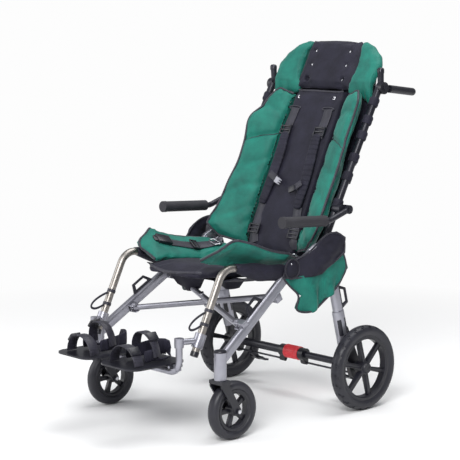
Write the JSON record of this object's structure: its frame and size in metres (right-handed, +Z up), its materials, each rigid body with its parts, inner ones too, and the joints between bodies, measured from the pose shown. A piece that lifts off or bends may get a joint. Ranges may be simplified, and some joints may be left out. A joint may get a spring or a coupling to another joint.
{
  "type": "special needs stroller",
  "caption": "Folding wide-seat mobility stroller with a high padded back, harness, armrests, foot supports, swivel casters and braked rear wheels.",
  "frame": {"origin": "on the floor, midway between the sides, at the middle of the overall length", "axes": "+Z up, -Y towards the front, +X towards the occupant's left"},
  "size_m": [0.72, 1.2172, 1.2417],
  "materials": {
    "tyre": "matte tread rubber",
    "rim": "black moulded nylon",
    "frame": "satin silver powder coat",
    "chrome": "bright plated tube",
    "black_metal": "black powder coat",
    "black_plastic": "black moulded plastic",
    "foam": "black foam grip",
    "red_plastic": "red moulded plastic",
    "grey_plastic": "grey moulded plastic",
    "black_cloth": "black woven nylon",
    "green_cloth": "green woven nylon",
    "webbing": "black webbing",
    "steel": "zinc plated bolt"
  },
  "bodies": {
    "seat": {"seat_pad": "black_cloth", "seat_flaps": "green_cloth", "seat_sling": "black_cloth", "lap_belt": "webbing", "brace_bolt": "steel"},
    "brace_a": {"brace_bar_a": "frame"},
    "brace_b": {"brace_bar_b": "frame"},
    "back": {"back_pad": "black_cloth", "back_wing_left": "green_cloth", "back_wing_right": "green_cloth", "head_pad": "black_cloth", "head_wings": "green_cloth", "back_sling": "black_cloth", "harness": "webbing"},
    "lock": {"lock_sleeve": "red_plastic"},
    "left_frame": {"front_leg_left": "frame", "rear_leg_left": "frame", "axle_bracket_left": "black_plastic", "leg_fittings_left": "black_metal", "seat_rail_left": "black_metal", "leg_hanger_left": "chrome", "crossbar_left": "black_metal", "side_skirt_left": "green_cloth", "side_cloth_left": "black_cloth"},
    "left_back": {"back_tube_left": "black_metal"},
    "left_handle": {"push_handle_left": "foam"},
    "left_armrest": {"armrest_tube_left": "black_metal", "armrest_pad_left": "foam"},
    "left_rear_wheel": {"rear_tyre_left": "tyre", "rear_rim_left": "rim"},
    "left_caster": {"caster_fork_left": "black_metal"},
    "left_caster_wheel": {"caster_tyre_left": "tyre", "caster_rim_left": "rim"},
    "left_footrest": {"foot_arm_left": "chrome"},
    "left_footplate": {"footplate_left": "black_plastic", "foot_straps_left": "webbing"},
    "left_brake": {"brake_pedal_left": "grey_plastic"},
    "right_frame": {"front_leg_right": "frame", "rear_leg_right": "frame", "axle_bracket_right": "black_plastic", "leg_fittings_right": "black_metal", "seat_rail_right": "black_metal", "leg_hanger_right": "chrome", "crossbar_right": "black_metal", "side_skirt_right": "green_cloth", "side_cloth_right": "black_cloth", "lock_core": "black_plastic"},
    "right_back": {"back_tube_right": "black_metal"},
    "right_handle": {"push_handle_right": "foam"},
    "right_armrest": {"armrest_tube_right": "black_metal", "armrest_pad_right": "foam"},
    "right_rear_wheel": {"rear_tyre_right": "tyre", "rear_rim_right": "rim"},
    "right_caster": {"caster_fork_right": "black_metal"},
    "right_caster_wheel": {"caster_tyre_right": "tyre", "caster_rim_right": "rim"},
    "right_footrest": {"foot_arm_right": "chrome"},
    "right_footplate": {"footplate_right": "black_plastic", "foot_straps_right": "webbing"},
    "right_brake": {"brake_pedal_right": "grey_plastic"}
  },
  "joints": [
    {"name": "frame_fold", "type": "slide", "parent": "seat", "child": "left_frame", "axis": [-1, 0, 0], "range_m": [0, 0.07], "deforming": ["seat_pad", "seat_flaps", "seat_sling", "lap_belt", "back_pad", "back_wing_left", "back_wing_right", "head_pad", "head_wings", "back_sling", "harness", "foot_straps_left", "foot_straps_right"]},
    {"name": "right_frame_fold", "type": "slide", "parent": "seat", "child": "right_frame", "axis": [1, 0, 0], "range_m": [0, 0.07]},
    {"name": "brace_a_turn", "type": "hinge", "parent": "seat", "child": "brace_a", "pos_m": [0, -0.1285, 0.391], "axis": [0, -0.454, 0.891], "range_deg": [0, 33.8]},
    {"name": "brace_b_turn", "type": "hinge", "parent": "seat", "child": "brace_b", "pos_m": [0, -0.1285, 0.391], "axis": [0, -0.454, 0.891], "range_deg": [-33.8, 0]},
    {"name": "back_recline", "type": "hinge", "parent": "seat", "child": "back", "pos_m": [0, 0.174, 0.574], "axis": [-1, 0, 0], "range_deg": [-10, 25]},
    {"name": "left_back_fold", "type": "slide", "parent": "back", "child": "left_back", "axis": [-1, 0, 0], "range_m": [0, 0.07]},
    {"name": "left_handle_angle", "type": "hinge", "parent": "left_back", "child": "left_handle", "pos_m": [0.275, 0.452, 1.091], "axis": [1, 0, 0], "range_deg": [-45, 60]},
    {"name": "left_armrest_lift", "type": "hinge", "parent": "left_back", "child": "left_armrest", "pos_m": [0.301, 0.256, 0.69], "axis": [-1, 0, 0], "range_deg": [0, 105]},
    {"name": "left_rear_wheel_spin", "type": "hinge", "parent": "left_frame", "child": "left_rear_wheel", "pos_m": [0.336, 0.2983, 0.146], "axis": [1, 0, 0], "continuous": true},
    {"name": "left_caster_swivel", "type": "hinge", "parent": "left_frame", "child": "left_caster", "pos_m": [0.313, -0.3365, 0.2], "axis": [0, 0, 1], "continuous": true},
    {"name": "left_caster_spin", "type": "hinge", "parent": "left_caster", "child": "left_caster_wheel", "pos_m": [0.313, -0.2865, 0.095], "axis": [1, 0, 0], "continuous": true},
    {"name": "left_foot_height", "type": "slide", "parent": "left_frame", "child": "left_footrest", "axis": [0, 0.4254, 0.905], "range_m": [0, 0.1]},
    {"name": "left_footplate_flip", "type": "hinge", "parent": "left_footrest", "child": "left_footplate", "pos_m": [0.212, -0.425, 0.243], "axis": [0, 1, 0], "range_deg": [0, 72]},
    {"name": "left_brake_press", "type": "hinge", "parent": "left_frame", "child": "left_brake", "pos_m": [0.205, 0.3043, 0.116], "axis": [-1, 0, 0], "range_deg": [0, 25]},
    {"name": "right_back_fold", "type": "slide", "parent": "back", "child": "right_back", "axis": [1, 0, 0], "range_m": [0, 0.07]},
    {"name": "right_handle_angle", "type": "hinge", "parent": "right_back", "child": "right_handle", "pos_m": [-0.275, 0.452, 1.091], "axis": [1, 0, 0], "range_deg": [-45, 60]},
    {"name": "right_armrest_lift", "type": "hinge", "parent": "right_back", "child": "right_armrest", "pos_m": [-0.301, 0.256, 0.69], "axis": [-1, 0, 0], "range_deg": [0, 105]},
    {"name": "right_rear_wheel_spin", "type": "hinge", "parent": "right_frame", "child": "right_rear_wheel", "pos_m": [-0.336, 0.2983, 0.146], "axis": [1, 0, 0], "continuous": true},
    {"name": "right_caster_swivel", "type": "hinge", "parent": "right_frame", "child": "right_caster", "pos_m": [-0.313, -0.3365, 0.2], "axis": [0, 0, 1], "continuous": true},
    {"name": "right_caster_spin", "type": "hinge", "parent": "right_caster", "child": "right_caster_wheel", "pos_m": [-0.313, -0.2865, 0.095], "axis": [1, 0, 0], "continuous": true},
    {"name": "right_foot_height", "type": "slide", "parent": "right_frame", "child": "right_footrest", "axis": [0, 0.4254, 0.905], "range_m": [0, 0.1]},
    {"name": "right_footplate_flip", "type": "hinge", "parent": "right_footrest", "child": "right_footplate", "pos_m": [-0.212, -0.425, 0.243], "axis": [0, -1, 0], "range_deg": [0, 72]},
    {"name": "right_brake_press", "type": "hinge", "parent": "right_frame", "child": "right_brake", "pos_m": [-0.205, 0.2923, 0.116], "axis": [-1, 0, 0], "range_deg": [0, 25]},
    {"name": "lock_twist", "type": "hinge", "parent": "right_frame", "child": "lock", "pos_m": [0, 0.2983, 0.146], "axis": [1, 0, 0], "range_deg": [0, 40]}
  ],
  "couplings": [
    {"joint": "right_frame_fold", "follows": "frame_fold", "ratio": 1},
    {"joint": "brace_a_turn", "follows": "frame_fold", "rad_per_m": 8.1781},
    {"joint": "brace_b_turn", "follows": "frame_fold", "rad_per_m": -8.1781},
    {"joint": "left_back_fold", "follows": "frame_fold", "ratio": 1},
    {"joint": "left_footplate_flip", "follows": "frame_fold", "rad_per_m": 17.453},
    {"joint": "right_back_fold", "follows": "frame_fold", "ratio": 1},
    {"joint": "right_footplate_flip", "follows": "frame_fold", "rad_per_m": 17.453},
    {"joint": "right_brake_press", "follows": "left_brake_press", "ratio": 1}
  ]
}
